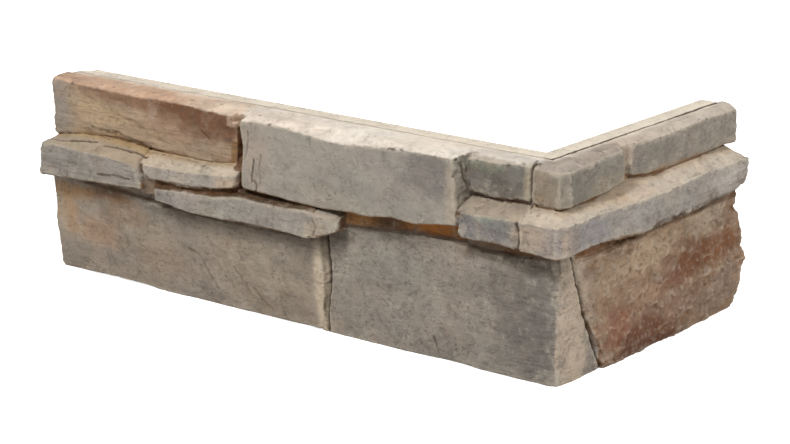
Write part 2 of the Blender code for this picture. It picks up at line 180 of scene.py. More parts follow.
# Fillings that make gaps shallower: the leg, where they start and end in front of the back, and their outline
# along the leg and up, in millimetres. The last two fill the groove, which is cut anew later.
FILLINGS = [
    ("long", 18, 48.8, ((5, 103), (14, 103), (14, 121), (5, 121))),
    ("long", 18, 40.0, ((-266, 117), (-257, 117), (-257.5, 128), (-256.5, 138), (-258.5, 151),
                        (-266, 151))),
    ("long", 18, 46.0, ((-349, 88), (-252, 90), (-252, 103), (-349, 101))),
    ("long", 18, 43.0, ((-245, 92), (-160, 92), (-160, 107), (-245, 107))),
    ("long", 18, 33.0, ((-44, 86), (30, 86), (30, 104), (-44, 104))),
    ("long", 18, 39.0, ((-452.5, 68), (-178, 62), (-178, 86), (-452.5, 90))),
    ("long", 18, 34.0, ((-178.5, 0.5), (-172, 0.5), (-171, 22), (-169.5, 42), (-170, 60), (-172.5, 82),
                        (-179, 82), (-177, 60), (-176.5, 42), (-178, 22))),
    ("short", 18, 34.5, ((-30, 82), (210, 82), (210, 97), (-30, 97))),
    ("short", 18, 35.2, ((16, 1), (27, 1), (20, 16), (11, 32), (2, 48), (-5, 64), (-11, 80), (-15, 94),
                         (-24, 94), (-18, 80), (-12, 64), (-6, 48), (2, 32), (9, 16))),
    ("long", 13.2, 16.8, ((-452.5, 150), (16, 150), (16, 160.5), (-452.5, 160.5))),
    ("short", 13.2, 16.8, ((-15, 150), (209.5, 150), (209.5, 160.5), (-15, 160.5))),
]

# Sloping fillings: the leg, where along it they start and end, and their outline in depth and up
SLOPES = [
    ("long", -172, -46, ((18, 78), (33.5, 84), (33.0, 91), (28.5, 106), (18, 108))),
    ("long", -350, -328, ((18, 84), (49, 84), (49, 97), (40, 108), (18, 108))),
]

# Relief in millimetres: the crumbly stone's lumps, the pits of the tall stone's broken side, and the sag and
# the notch of the low ledge's upper edge. Then, in metres, how far in front of the back that edge starts.
CRUMBLY_RELIEF = 1.6
BROKEN_RELIEF = 0.7
LEDGE_SAG = 2.0
LEDGE_NOTCH = 3.5
LEDGE_BACK = 0.0475

# Stretches along the panel, in millimetres: where each one starts, is full, fades and ends
SAG_ENDS = (-337, -331, -262, -240)
NOTCH_ENDS = (-333, -326, -200, -180)
OPEN_GAP_ENDS = (-176, -168, -52, -46)

# How deep chips at the edges are, and how far edges wander, as shares of a stone's flaking
CHIP_SHARE = 2.0
EDGE_SHARE = 0.5

# Small places that differ from their stone: their ends along the panel and up it, in millimetres
ABOVE_ALL = 170
BROKEN_EDGE = ((-48.5, -41.5), (105, ABOVE_ALL))
BROKEN_SIDE = ((-50, -28), (121, ABOVE_ALL))
TALL_GAP = ((-257.3, -247), (104, 146))
BRIDGE = ((-266, -244), (147.5, ABOVE_ALL))
NARROW_STRIP = ((117, 137), (126, ABOVE_ALL))
PALE_END = ((-181.5, -168.5), (-9, 79))
LEFT_RECESS = ((-353, -331.5), (79, 97.5))


# Scattered values

def scattered(x, y, z, seed):
    """A repeatable 32-bit number for each whole-number cell."""
    mixed = x * np.uint32(374761393) + y * np.uint32(668265263) + z * np.uint32(2246822519)
    mixed = mixed + np.uint32(seed * 1274126177 & 0xFFFFFFFF)
    mixed = (mixed ^ (mixed >> np.uint32(13))) * np.uint32(1274126177)
    mixed = (mixed ^ (mixed >> np.uint32(15))) * np.uint32(2654435761)
    return mixed ^ (mixed >> np.uint32(16))


def in_cells(points, across, up):
    """The cell of each point in a grid, as whole numbers, and the point's place in its cell."""
    scaled = points / np.array((across, across, up))
    cell = np.floor(scaled)
    return cell.astype(np.int64).astype(np.uint32).T, (scaled - cell).T


def values_at(cell, step, seed):
    """Three values between -1 and 1 for each cell that lies a step from the given ones."""
    number = scattered(*[cell[axis] + np.uint32(step[axis] & 0xFFFFFFFF) for axis in range(3)], seed)
    return [((number >> np.uint32(shift)) & np.uint32(1023)).astype(np.float64) / 511.5 - 1.0
            for shift in (0, 10, 20)]


def swirl(points, across, up, seed):
    """Smooth noise between about -1 and 1, with the size of its grain, in metres, across and up."""
    cell, part = in_cells(points, across, up)
    fade = part ** 3 * (part * (part * 6 - 15) + 10)
    total = np.zeros(len(points))
    for step in itertools.product((0, 1), repeat=3):
        slopes = values_at(cell, step, seed)
        weight = math.prod(fade[axis] if step[axis] else 1 - fade[axis] for axis in range(3))
        total += weight * sum(slopes[axis] * (part[axis] - step[axis]) for axis in range(3))
    return total * 1.5


def flakes(points, across, up, seed):
    """How far each point is from the nearest border between scattered cells, and its cell's value."""
    cell, part = in_cells(points, across, up)
    nearest = np.full(len(points), 9.0)
    second = np.full(len(points), 9.0)
    value = np.zeros(len(points))
    for step in itertools.product((-1, 0, 1), repeat=3):
        shift = values_at(cell, step, seed)
        away = [step[axis] + 0.5 + 0.45 * shift[axis] - part[axis] for axis in range(3)]
        distance = np.sqrt(sum(leg ** 2 for leg in away))
        closer = distance < nearest
        second = np.where(closer, nearest, np.minimum(second, distance))
        value = np.where(closer, shift[0], value)
        nearest = np.where(closer, distance, nearest)
    return second - nearest, value


def ease(value, low, high):
    """0 up to low, 1 from high on, and smooth between."""
    share = np.clip((value - low) / (high - low), 0.0, 1.0)
    return share * share * (3 - 2 * share)


def spread(value, start, full, fade, end):
    """1 from full to fade, running out to 0 at start and end."""
    return ease(value, start, full) * (1 - ease(value, fade, end))


# Places on the panel

def unroll(points):
    """Distance along the panel's face, past the outside corner too, depth before the back, and height."""
    x = points[:, 0] - CORNER_X
    y = points[:, 1] - CORNER_Y
    on_short = x > -y
    along = np.where(on_short, 2 * TURN + y, x)
    depth = np.where(on_short, x, -y)
    return along, depth, points[:, 2]


def which_stone(along, height):
    """The number of each point's stone, and how far outside that stone's outline the point lies."""
    best = np.full(len(along), 9.0)
    chosen = np.zeros(len(along), dtype=int)
    slope = np.interp(height / MM, np.linspace(0, JOINT_TOP, len(JOINT_SLOPE)), JOINT_SLOPE) * MM
    for number, name in enumerate(NAMES):
        start, end, low, high, _, low_line, high_line = STONES[name]
        share = np.clip((along / MM - start) / (end - start), 0, 1)
        lower = (low + np.interp(share, np.linspace(0, 1, len(low_line)), low_line)) * MM
        upper = (high + np.interp(share, np.linspace(0, 1, len(high_line)), high_line)) * MM
        left = start * MM + (slope if name == "C3" else 0.0)
        right = end * MM + (slope if name == "C2" else 0.0)
        outside = np.maximum(np.maximum(left - along, along - right),
                             np.maximum(lower - height, height - upper))
        if name == "A3":
            outside = np.maximum(outside, -0.0003)
        closer = outside < best
        chosen = np.where(closer, number, chosen)
        best = np.where(closer, outside, best)
    return chosen, best


def in_place(place, along, height):
    """Whether points lie in a place, which is given by its ends along the panel and up it in millimetres."""
    (left, right), (low, high) = place
    return (along / MM > left) & (along / MM < right) & (height / MM > low) & (height / MM < high)


def ledge_owners(stone, along, height, facing_up):
    """The stones again, with each upward face between the courses given to the narrow stone it belongs to."""
    for name, low, high in LEDGES:
        start, end = STONES[name][:2]
        here = in_place(((start - 1, end + 1), (low, high)), along, height)
        stone = np.where(here & facing_up, NAMES.index(name), stone)
    return stone


def to_line(spot, points):
    """Distance in millimetres from places, in metres, to a line through points in millimetres."""
    spot = spot / MM
    nearest = np.full(len(spot), 999.0)
    for start, end in zip(points[:-1], points[1:]):
        start = np.array(start, dtype=float)
        leg = np.array(end, dtype=float) - start
        share = np.clip((spot - start) @ leg / (leg @ leg), 0, 1)
        nearest = np.minimum(nearest, np.linalg.norm(spot - start - share[:, None] * leg, axis=1))
    return nearest


def cracks_at(points, along, depth, height, facing_up):
    """How deep the cracks cut at each point, in metres, and how dark they are."""
    cut = np.zeros(len(points))
    dark = np.zeros(len(points))
    wander = swirl(points, 0.006, 0.006, 71) * CRACK_WANDER * MM
    on_face = np.stack([along + wander, height + wander], axis=1)
    on_top = np.stack([along + wander, depth + wander], axis=1)
    anywhere = np.stack([along + wander, depth, height + wander], axis=1)
    for lines, spot, here in ((FACE_CRACKS, on_face, ~facing_up), (TOP_CRACKS, on_top, facing_up),
                              (DEEP_CRACKS, anywhere, True)):
        for line, width, deep, darkness in lines:
            near = np.clip(CRACK_REACH - to_line(spot, line) / width, 0, 1) * here
            cut = np.maximum(cut, near * deep * MM)
            dark = np.maximum(dark, near * darkness)
    return cut, dark


def folds_at(points, along, height, facing_up):
    """How far the folds push the faces out, in metres."""
    push = np.zeros(len(points))
    wander = swirl(points, 0.012, 0.012, 72) * FOLD_WANDER * MM
    spot = np.stack([along + wander, height + wander], axis=1)
    for line, rise, fade in FOLDS:
        distance = to_line(spot, line)
        level = np.interp(along / MM, *zip(*line))
        above = ease(spot[:, 1] / MM - level, -FOLD_EDGE, FOLD_EDGE)
        first, last = line[0][0], line[-1][0]
        ends = spread(along / MM, first - FOLD_END, first + FOLD_END, last - FOLD_END, last + FOLD_END)
        push += rise * MM * np.exp(-(distance / fade) ** 2) * (above - 0.3) * ends * ~facing_up
    return push


# Mesh helpers

def add_object(name, data):
    thing = bpy.data.objects.new(name, data)
    bpy.context.scene.collection.objects.link(thing)
    return thing


def read_vertices(mesh):
    points = np.empty(len(mesh.vertices) * 3)
    mesh.vertices.foreach_get("co", points)
    normals = np.empty(len(mesh.vertices) * 3)
    mesh.vertex_normals.foreach_get("vector", normals)
    return points.reshape(-1, 3), normals.reshape(-1, 3)


def write_vertices(mesh, points):
    mesh.vertices.foreach_set("co", points.ravel())
    mesh.update()


def relaxed(mesh, points, times):
    """The points after each has moved to the middle of its neighbours a number of times."""
    edges = np.empty(len(mesh.edges) * 2, dtype=np.int64)
    mesh.edges.foreach_get("vertices", edges)
    ends = edges.reshape(-1, 2)
    first = np.concatenate([ends[:, 0], ends[:, 1]])
    second = np.concatenate([ends[:, 1], ends[:, 0]])
    count = np.bincount(first, minlength=len(points))
    moved = points.copy()
    for _ in range(times):
        for axis in range(3):
            total = np.bincount(first, weights=moved[second, axis], minlength=len(points))
            moved[:, axis] = 0.5 * moved[:, axis] + 0.5 * total / count
    return moved


def with_modifier(name, mesh, kind, **settings):
    """A new mesh: the given one with one modifier applied."""
    holder = add_object(name, mesh)
    step = holder.modifiers.new(kind.lower(), kind)
    for key, value in settings.items():
        setattr(step, key, value)
    evaluated = holder.evaluated_get(bpy.context.evaluated_depsgraph_get())
    result = bpy.data.meshes.new_from_object(evaluated)
    result.name = name
    bpy.data.objects.remove(holder)
    return result


# The casting

def roughen(mesh):
    """The points moved: swells, layers, grain, flaked edges, cracks, folds and the open gap."""
    points, normals = read_vertices(mesh)
    along, depth, height = unroll(points)
    stone, _ = which_stone(along, height)
    broad, layer, grain, flake = np.array([ROUGHNESS[name] for name in NAMES])[stone].T * MM

    # The back, the strip behind the groove and the slab's ends stay true
    free = ease(depth, SLAB_FRONT, SLAB_FRONT + 0.006)
    top_face = ease(height, HEIGHT - 0.0012, HEIGHT - 0.0003) * ease(normals[:, 2], 0.5, 0.9)
    free *= 1 - 0.8 * top_face * (1 - ease(depth, 0.020, 0.032))
    free *= 1 - 0.85 * ease(-normals[:, 2], 0.7, 0.95) * (height < 0.002)

    bend = np.sum((points - relaxed(mesh, points, 9)) * normals, axis=1) / MM
    arris = ease(bend, 0.15, 0.7)

    push = broad * (0.75 * swirl(points, 0.034, 0.024, 1) + 0.45 * swirl(points, 0.015, 0.010, 2))
    level = swirl(points, 0.040, 0.0065, 3) + 0.5 * swirl(points, 0.018, 0.0028, 4)
    push += layer * np.clip(level * 1.4, -1, 1)
    push += grain * (swirl(points, 0.0050, 0.0036, 5) + 0.7 * swirl(points, 0.0026, 0.0021, 6))

    warp = np.stack([swirl(points, 0.006, 0.006, 11 + axis) for axis in range(3)], axis=1)
    rugged = (stone == NAMES.index("C3")) * ease(depth, 0.034, 0.037)
    lumps = swirl(points + 0.003 * warp, 0.021, 0.013, 61)
    lumps += 0.6 * swirl(points + 0.002 * warp, 0.010, 0.0060, 62)
    lumps -= 0.45 * np.abs(swirl(points + 0.002 * warp, 0.012, 0.0055, 63))
    push += rugged * CRUMBLY_RELIEF * MM * np.clip(lumps, -1.0, 0.8)
    border, value = flakes(points + 0.0015 * warp, 0.014, 0.008, 7)
    push += broad * 0.35 * value * ease(border, 0.02, 0.22)

    chips = swirl(points, 0.0075, 0.0055, 8) * 1.3 + 0.5 * swirl(points, 0.0033, 0.0033, 9)
    push -= flake * arris * np.clip(chips - 0.15, 0, 1) * CHIP_SHARE

    pits, pit_value = flakes(points, 0.0062, 0.0050, 10)
    push -= grain * 1.5 * (pit_value > 0.72) * ease(pits, 0.15, 0.5)

    facing_up = normals[:, 2] > 0.6
    cut, _ = cracks_at(points, along, depth, height, facing_up)
    push -= cut * (depth > 0.022)
    push += folds_at(points, along, height, facing_up)

    # The tall stone's broken side is pitted
    broken = in_place(BROKEN_EDGE, along, height) * (depth < 0.049) * (depth > 0.030)
    push += broken * BROKEN_RELIEF * MM * swirl(points, 0.0045, 0.0038, 12)

    moved = points + normals * (push * free)[:, None]

    # The gap above the low ledge is open: the edge below it sags and is cut back
    places = along / MM
    roof = np.interp(places, *zip(*GAP_ROOF))
    sag = spread(places, *SAG_ENDS)
    sag *= ease(height / MM, 83, 92) * (1 - ease(height / MM - roof, -2.6, -0.6))
    moved[:, 2] -= sag * (depth > LEDGE_BACK) * LEDGE_SAG * MM
    up = moved[:, 2] / MM
    notch = spread(places, *NOTCH_ENDS)
    notch *= ease(up - np.interp(places, *zip(*LOW_LEDGE_TOP)), -1.8, -0.6)
    notch *= 1 - ease(up - roof, -1.4, -0.2)
    moved[:, 1] += notch * (depth > LEDGE_BACK) * LEDGE_NOTCH * MM

    # Jagged outlines: the edges of the stones also wander sideways
    for axis in range(3):
        wander = swirl(points, 0.010, 0.008, 21 + axis) + 0.6 * swirl(points, 0.0042, 0.0042, 31 + axis)
        moved[:, axis] += wander * flake * EDGE_SHARE * arris * free
    return moved


def true_up(points):
    """Bring the flat faces back to true, cut the groove and break the corner off the strip's end."""
    along, depth, height = unroll(points)
    x = points[:, 0] - CORNER_X
    y = points[:, 1] - CORNER_Y
    points[:, 2] = np.clip(points[:, 2], 0.0, HEIGHT)
    on_short = x > -y
    points[on_short & (x < 0.0006), 0] = CORNER_X
    points[~on_short & (y > -0.0006), 1] = CORNER_Y

    # The groove: three rows of points close up on its line, and the middle one sinks
    on_top = (height > HEIGHT - 0.0013) & (depth > 0.011) & (depth < 0.019)
    offset = depth - GROOVE_FROM_BACK
    middle_row = np.abs(offset) < VOXEL * 0.5
    target = np.select([middle_row, np.abs(offset) < VOXEL * 1.5],
                       [np.zeros(len(points)), np.sign(offset) * GROOVE_HALF], offset)
    shift = np.where(on_top, target - offset, 0.0)
    points[:, 0] += np.where(on_short, shift, 0.0)
    points[:, 1] -= np.where(on_short, 0.0, shift)
    points[:, 2] -= np.where(on_top & middle_row, GROOVE_DEPTH, 0.0)

    # The chipped end of the strip
    chip = ease(height, HEIGHT - 0.020, HEIGHT - 0.004) * ease(-depth, -SLAB_FRONT, 0.0)
    reach = np.clip(CHIP_START - along, 0, 0.01) * chip
    points[:, 0] += reach * 0.85
    points[:, 2] -= reach * 0.10
    return points


def add_filling(mesh, leg, ends):
    """Join a filling to a mesh, from its two end outlines. The remeshing then makes one body of them."""
    build = bmesh.new()
    build.from_mesh(mesh)
    rings = []
    for outline in ends:
        places = [(along, -depth, up) if leg == "long" else (depth, along, up)
                  for along, depth, up in outline]
        rings.append([build.verts.new((CORNER_X + x * MM, CORNER_Y + y * MM, z * MM)) for x, y, z in places])
    faces = [build.faces.new(ring) for ring in rings]
    for here in range(len(outline)):
        there = (here + 1) % len(outline)
        faces.append(build.faces.new((rings[0][here], rings[0][there], rings[1][there], rings[1][here])))
    bmesh.ops.recalc_face_normals(build, faces=faces)
    bmesh.ops.triangulate(build, faces=faces)
    build.to_mesh(mesh)
    build.free()


def casting_mesh(node):
    """The casting's surface: the smooth solid as even cells, sharpened, roughened and thinned out."""
    smooth = node.data.copy()
    for leg, behind, front, outline in FILLINGS:
        add_filling(smooth, leg, [[(along, depth, up) for along, up in outline] for depth in (behind, front)])
    for leg, start, end, outline in SLOPES:
        add_filling(smooth, leg, [[(along, depth, up) for depth, up in outline] for along in (start, end)])
    fine = with_modifier("fine", smooth, "REMESH", mode="VOXEL", voxel_size=VOXEL, adaptivity=0.0)
    points, normals = read_vertices(fine)
    points = relaxed(fine, points, 1)
    ledge = ease(normals[:, 2], 0.45, 0.8) * (points[:, 2] < HEIGHT - 0.012)
    points += (relaxed(fine, points, 30) - points) * ledge[:, None]
    sharper = points - relaxed(fine, points, 12)
    write_vertices(fine, points + sharper * (1 - 0.7 * ledge[:, None]))
    write_vertices(fine, roughen(fine))
    points, _ = read_vertices(fine)
    write_vertices(fine, true_up(points))
    triangles = sum(len(face.vertices) - 2 for face in fine.polygons)
    lean = with_modifier("casting", fine, "DECIMATE", decimate_type="COLLAPSE",
                         ratio=MOST_TRIANGLES / triangles, use_collapse_triangulate=True)
    lean.shade_smooth()
    lean.set_sharp_from_angle(angle=math.radians(SHARP_ANGLE))
    return lean


# Colour

def hex_colour(text):
    """A screen colour as the linear values that a shader takes."""
    values = [int(text[place:place + 2], 16) / 255 for place in (1, 3, 5)]
    return np.array([value / 12.92 if value <= 0.04045 else ((value + 0.055) / 1.055) ** 2.4
                     for value in values])


# Each stone's main colour, two that drift across it, and the pale film on its upward faces, partly cement and
# partly painted light from above, with how thick that is
PALETTE = {
    "A1": ("#ab9279", "#9d8169", "#b39c82", "#c2a187", 0.9),
    "A2": ("#978f84", "#8c867d", "#a1978a", "#dfd5c8", 0.95),
    "A3": ("#958a7c", "#857b70", "#a39684", "#c6bdb2", 0.9),
    "A4": ("#6f6a62", "#635f59", "#77716a", "#aea395", 0.9),
    "A5": ("#81796e", "#787268", "#8f8372", "#998d82", 0.9),
    "A6": ("#8e8579", "#837c73", "#988d80", "#b6aa9d", 0.9),
    "B1": ("#9a9187", "#8c857c", "#a4998b", "#a89a85", 0.9),
    "B2": ("#a3998d", "#958d84", "#b0a492", "#c6b8a3", 0.85),
    "B3": ("#958d84", "#8a847d", "#9d9486", "#a89c8c", 0.8),
    "B4": ("#777370", "#6d6a67", "#7f7b74", "#9f917e", 0.9),
    "B5": ("#989087", "#8c8781", "#a3998c", "#b6a998", 0.9),
    "C1": ("#96897a", "#8b8074", "#9e8f7c", "#96856c", 0.6),
    "C2": ("#8d8479", "#837b71", "#94897c", "#8d8070", 0.6),
    "C3": ("#8e725b", "#805f49", "#9a8066", "#8c7258", 0.5),
}

# How even each stone's colour is, from 0 for the most broken mottling
CALM = {"A1": 0.45, "A2": 0.5, "A5": 0.35, "A6": 0.3, "B4": 0.1, "C1": 0.3, "C2": 0.1, "C3": 0.25}

# Patches of another colour: middle along and up, reach along and up in millimetres, colour, strength
PATCHES = [
    (-448, 137, 20, 32, "#958b80", 0.85),
    (-425, 146, 20, 11, "#b1987b", 0.7),
    (-400, 138, 32, 16, "#b69c7b", 0.8),
    (-350, 155, 84, 8, "#825e45", 0.8),
    (-300, 151, 48, 14, "#6c462c", 0.95),
    (-284, 142, 30, 13, "#714f38", 0.85),
    (-268, 150, 10, 16, "#6d4a34", 0.8),
    (-330, 138, 36, 10, "#987860", 0.5),
    (-305, 121, 34, 7, "#a38e75", 0.6),
    (-285, 128, 26, 7, "#94806a", 0.5),
    (-400, 120, 44, 6, "#a0855f", 0.6),
    (-350, 128, 24, 8, "#a68d70", 0.5),
    (-232, 130, 16, 34, "#a29486", 0.6),
    (-62, 144, 36, 20, "#76706a", 0.9),
    (-90, 120, 46, 14, "#8b847a", 0.6),
    (-110, 148, 30, 10, "#8d867d", 0.6),
    (-48, 132, 5, 34, "#a09484", 0.8),
    (-160, 112, 36, 8, "#9f9686", 0.5),
    (-200, 146, 24, 10, "#a0978b", 0.4),
    (-30, 153, 22, 5, "#727763", 0.6),
    (-14, 142, 20, 10, "#696259", 0.5),
    (-34, 136, 12, 6, "#8a8274", 0.5),
    (7, 145, 3.5, 18, "#a1937c", 0.8),
    (20, 146, 10, 14, "#8c7c68", 0.7),
    (24, 136, 12, 6, "#957f62", 0.6),
    (34, 138, 14, 10, "#827867", 0.5),
    (58, 140, 16, 14, "#767167", 0.7),
    (95, 138, 24, 8, "#958874", 0.5),
    (84, 152, 24, 6, "#8a8478", 0.4),
    (160, 146, 26, 12, "#857e72", 0.45),
    (215, 146, 26, 14, "#8e857a", 0.5),
    # A golden line at the foot of the upper stone on the short leg, partly stain and partly painted shadow
    (190, 131, 60, 3, "#9a7648", 0.5),
    (131, 144, 6, 26, "#a79985", 0.9),
    (20, 112, 16, 14, "#ab9984", 0.8),
    (38, 107, 12, 12, "#9b897c", 0.6),
    (66, 110, 26, 12, "#87858a", 0.55),
    (120, 114, 36, 9, "#a39d96", 0.55),
    (190, 118, 44, 5, "#a1988c", 0.45),
    (252, 114, 34, 14, "#bfb8af", 0.7),
    (-20, 120, 16, 5, "#838a7a", 0.5),
    (-34, 108, 10, 8, "#7a7674", 0.5),
    (-256, 104, 14, 9, "#bba38a", 0.8),
    (-158, 92, 16, 9, "#aca290", 0.7),
    (-250, 90, 40, 8, "#909085", 0.3),
    (-300, 88, 20, 8, "#9a9089", 0.4),
    (-341, 88, 9, 12, "#756754", 0.85),
    (-440, 100, 16, 10, "#8b8780", 0.5),
    (-440, 68, 26, 8, "#b28c64", 0.8),
    (-400, 71, 34, 6, "#906b48", 0.7),
    # This patch and the next are partly stain and partly painted shadow just under the ledges
    (-392, 74, 18, 5, "#6f5238", 0.7),
    (-346, 71, 10, 12, "#6c655d", 0.75),
    (-445, 48, 14, 20, "#b08e6a", 0.7),
    (-451, 26, 6, 40, "#a99b89", 0.6),
    (-412, 38, 34, 14, "#ac8a6c", 0.6),
    (-378, 58, 28, 12, "#8a7056", 0.6),
    (-330, 62, 30, 9, "#80766a", 0.6),
    (-440, 18, 26, 14, "#8b8074", 0.6),
    (-375, 37, 20, 12, "#8c8072", 0.55),
    (-345, 26, 28, 12, "#958068", 0.5),
    (-300, 48, 26, 12, "#8e8276", 0.6),
    (-255, 52, 34, 14, "#8c8070", 0.6),
    (-205, 50, 22, 18, "#867c6e", 0.6),
    (-225, 16, 36, 14, "#877a6a", 0.6),
    # A painted highlight on the end of the left lower stone
    (-177.5, 40, 6.5, 48, "#c4b39b", 0.9),
    (-168, 84, 12, 8, "#a89680", 0.6),
    (-160, 60, 16, 26, "#9d9487", 0.6),
    (-110, 62, 40, 16, "#86847a", 0.4),
    (-140, 36, 24, 12, "#8e8376", 0.4),
    (-60, 62, 26, 14, "#8a8074", 0.5),
    (4, 70, 38, 22, "#6c675f", 0.7),
    # Painted shade under the middle of the open gap
    (-108, 88, 20, 8, "#5f564a", 0.6),
    (14, 34, 30, 40, "#6a6660", 0.9),
    (-20, 14, 26, 14, "#837c72", 0.5),
    # This patch and the next are painted shadow under the ledges
    (-22, 91, 34, 8, "#53493e", 0.75),
    (24, 88, 40, 9, "#585046", 0.8),
    (58, 40, 20, 60, "#b5a38e", 0.9),
    (50, 84, 12, 14, "#a2927e", 0.6),
    (100, 70, 26, 22, "#a08a70", 0.7),
    (146, 74, 40, 14, "#b59c80", 0.8),
    (218, 56, 36, 15, "#6b4023", 0.95),
    (186, 46, 28, 10, "#754b36", 0.75),
    (114, 26, 22, 18, "#8a5d48", 0.85),
    (148, 14, 44, 15, "#623820", 0.95),
    (150, 3, 62, 6, "#55301c", 0.85),
    (150, 42, 26, 10, "#9c7c64", 0.6),
    (185, 30, 34, 12, "#7f6252", 0.6),
    (235, 84, 34, 13, "#ab9a84", 0.85),
    (185, 84, 30, 11, "#a68e74", 0.7),
    (250, 18, 30, 18, "#86715f", 0.8),
    (258, 56, 26, 13, "#764624", 0.85),
    (262, 36, 18, 9, "#7a6558", 0.6),
]

# The depth of the upper stones' feet behind the ledges, along the panel, in millimetres
FOOT_LINE = ((-460, 41), (-250, 41), (-246, 50), (-50, 50), (-44, 34), (9, 34), (12, 36.5), (118, 37.5),
             (124, 30.5), (285, 30.5))

# The low ledge's upper edge and the lower edge of the stones above it, along the panel, in millimetres
LOW_LEDGE_TOP = ((-333, 91), (-302, 94), (-271, 95), (-240, 100), (-210, 98), (-179, 99))
GAP_ROOF = ((-350, 96), (-325, 95.5), (-300, 96.5), (-275, 98.5), (-251, 103), (-246, 104), (-205, 103),
            (-172, 101.5))

# The lower edge of the ledges over the left lower stone, along the panel, in millimetres
LEDGE_FOOT = ((-456, 82), (-430, 83), (-346, 87), (-333, 80), (-306, 77.5), (-180, 77), (-165, 81),
              (-148, 87))

# Ledges whose film turns golden behind, partly stain and partly painted shade, and upper stones with a golden
# line at the foot, partly stain and partly painted shadow
WARMTH = np.array([{"B1": 0.8, "B2": 0.7, "B5": 0.3}.get(name, 0.0) for name in NAMES])
UPPER_FOOT = np.array([1.0 if name in ("A1", "A5", "A6") else 0.0 for name in NAMES])

# The open gap between the tall stone and the ledges: the height of its rim along the panel, its brown colour,
# and other colours in it, with their middle and reach along the panel; the dark one in the middle is painted
# shade
GAP_RIM = ((-172, 86), (-145, 87), (-120, 90), (-100, 92), (-60, 93))
GAP_BED = "#86582b"
GAP_COLOURS = [(-150, 20, "#bd8a54"), (-112, 16, "#5a4838"), (-76, 24, "#b87634")]

# Films on the upward faces, partly pale cement and partly painted light from above: behind the groove, on the
# left stone's top toward the tall stone, tinted pink, and golden at the feet, which is partly stain and
# partly painted shade
STRIP_FILM_AND_TOP_LIGHT = "#e8dccb"
TOP_END_FILM_AND_TOP_LIGHT = "#dccab6"
PINK_TINT = "#ffeee4"
GOLDEN_FILM_AND_SHADE = "#ad8c58"
GOLDEN_FOOT_SHADE = "#80592c"

# Painted shade with brown in the gap above the low ledge and with rust between the tall stones, the stone's
# colour bridging them there, rubbed edges, painted shadow just under the ledges, and painted shade with brown
# above the crumbly stone near the corner and further on
LEDGE_GAP_SHADE = "#4e3823"
RUSTY_GAP_SHADE = "#5c3a20"
BRIDGE_TONE = "#ae947b"
RUBBED_EDGE = "#c8bca6"
LEDGE_SHADE = "#463a2e"
NEAR_JOINT_SHADE = "#64482a"
FAR_JOINT_SHADE = "#412e1c"


def blended(first, second, share):
    """A colour turning into another, as far as each point's share says."""
    first, second = [hex_colour(item) if isinstance(item, str) else item for item in (first, second)]
    return first * (1 - share[:, None]) + second * share[:, None]


def stone_tones(points, places, height, colours, ragged):
    """The stones' own colours, each drifting between three, with their ragged patches."""
    drift = swirl(points, 0.050, 0.026, 41) + 0.6 * swirl(points, 0.020, 0.012, 42)
    toward = ease(drift, 0.05, 0.9)[:, None]
    away = ease(-drift, 0.05, 0.9)[:, None]
    tone = colours[:, 0] * (1 - toward - away) + colours[:, 1] * toward + colours[:, 2] * away
    for middle, up, reach, rise, text, strength in PATCHES:
        apart = np.hypot((places - middle) / reach, (height / MM - up) / rise) + ragged
        tone = blended(tone, text, strength * (1 - ease(apart, 0.45, 1.25)))
    return tone


def cement_film_and_top_light(points, along, depth, height, stone, up_facing, cream):
    """How thick the pale film on the upward faces is, partly cement and partly painted light from above, and
    its colour.
    """
    film_and_top_light = up_facing * np.array([PALETTE[name][4] for name in NAMES])[stone]
    film_and_top_light *= 0.85 + 0.35 * ease(swirl(points, 0.016, 0.012, 45), -0.5, 0.5)
    strip_behind = ease(-depth, -GROOVE_FROM_BACK - 0.006, -GROOVE_FROM_BACK)
    strip_behind *= ease(height, HEIGHT - 0.002, HEIGHT - 0.001)
    cream = blended(cream, STRIP_FILM_AND_TOP_LIGHT, strip_behind)
    left_top = stone == NAMES.index("A1")
    cream = blended(cream, TOP_END_FILM_AND_TOP_LIGHT, 0.9 * left_top * ease(along, -0.335, -0.268))
    pinkish = 0.4 * ease(swirl(points, 0.07, 0.07, 44), -0.2, 0.6)[:, None]
    cream = cream * (1 - pinkish * (1 - hex_colour(PINK_TINT)))
    patchy = swirl(points, 0.011, 0.008, 46) + 0.7 * swirl(points, 0.0045, 0.0045, 47)
    return np.clip(film_and_top_light, 0, 0.97), cream * (1 + 0.16 * np.clip(patchy, -1, 1))[:, None]


def ledge_gap_shade(places, depth, height):
    """How far each point is in the gap between the low ledge and the stones above it, which gets painted
    shade.
    """
    front = np.interp(places, (-252, -246), (53.4, 52.4))
    share = ease(front - depth / MM, -0.8, 0.6) * (places > -336) * (places < -172)
    share *= ease(height / MM - np.interp(places, *zip(*LOW_LEDGE_TOP)), -3.2, -1.8)
    return share * (1 - ease(height / MM - np.interp(places, *zip(*GAP_ROOF)), 0, 1))


def open_gap(places, depth, height):
    """How far each point is in the open gap under the tall stone."""
    above_rim = height - np.interp(places, *zip(*GAP_RIM)) * MM
    share = spread(places, *OPEN_GAP_ENDS)
    share *= ease(above_rim, 0.0, 0.003) * (1 - ease(height, 0.1035, 0.107))
    return share * (1 - ease(depth, 0.0345, 0.0365))


def under_ledges(places, depth, height, ragged):
    """How much painted shadow darkens each point of the lower stones that lies just under the ledges."""
    below = height / MM - np.interp(places, *zip(*LEDGE_FOOT)) + 5 * ragged
    share = ease(below, -13.5, -8.5) * (places < -146) * (depth < 0.042)
    return share * (np.interp(places, (-452, -420, -350, -320), (0.15, 0.25, 0.35, 0.55)) * (height < 0.084))


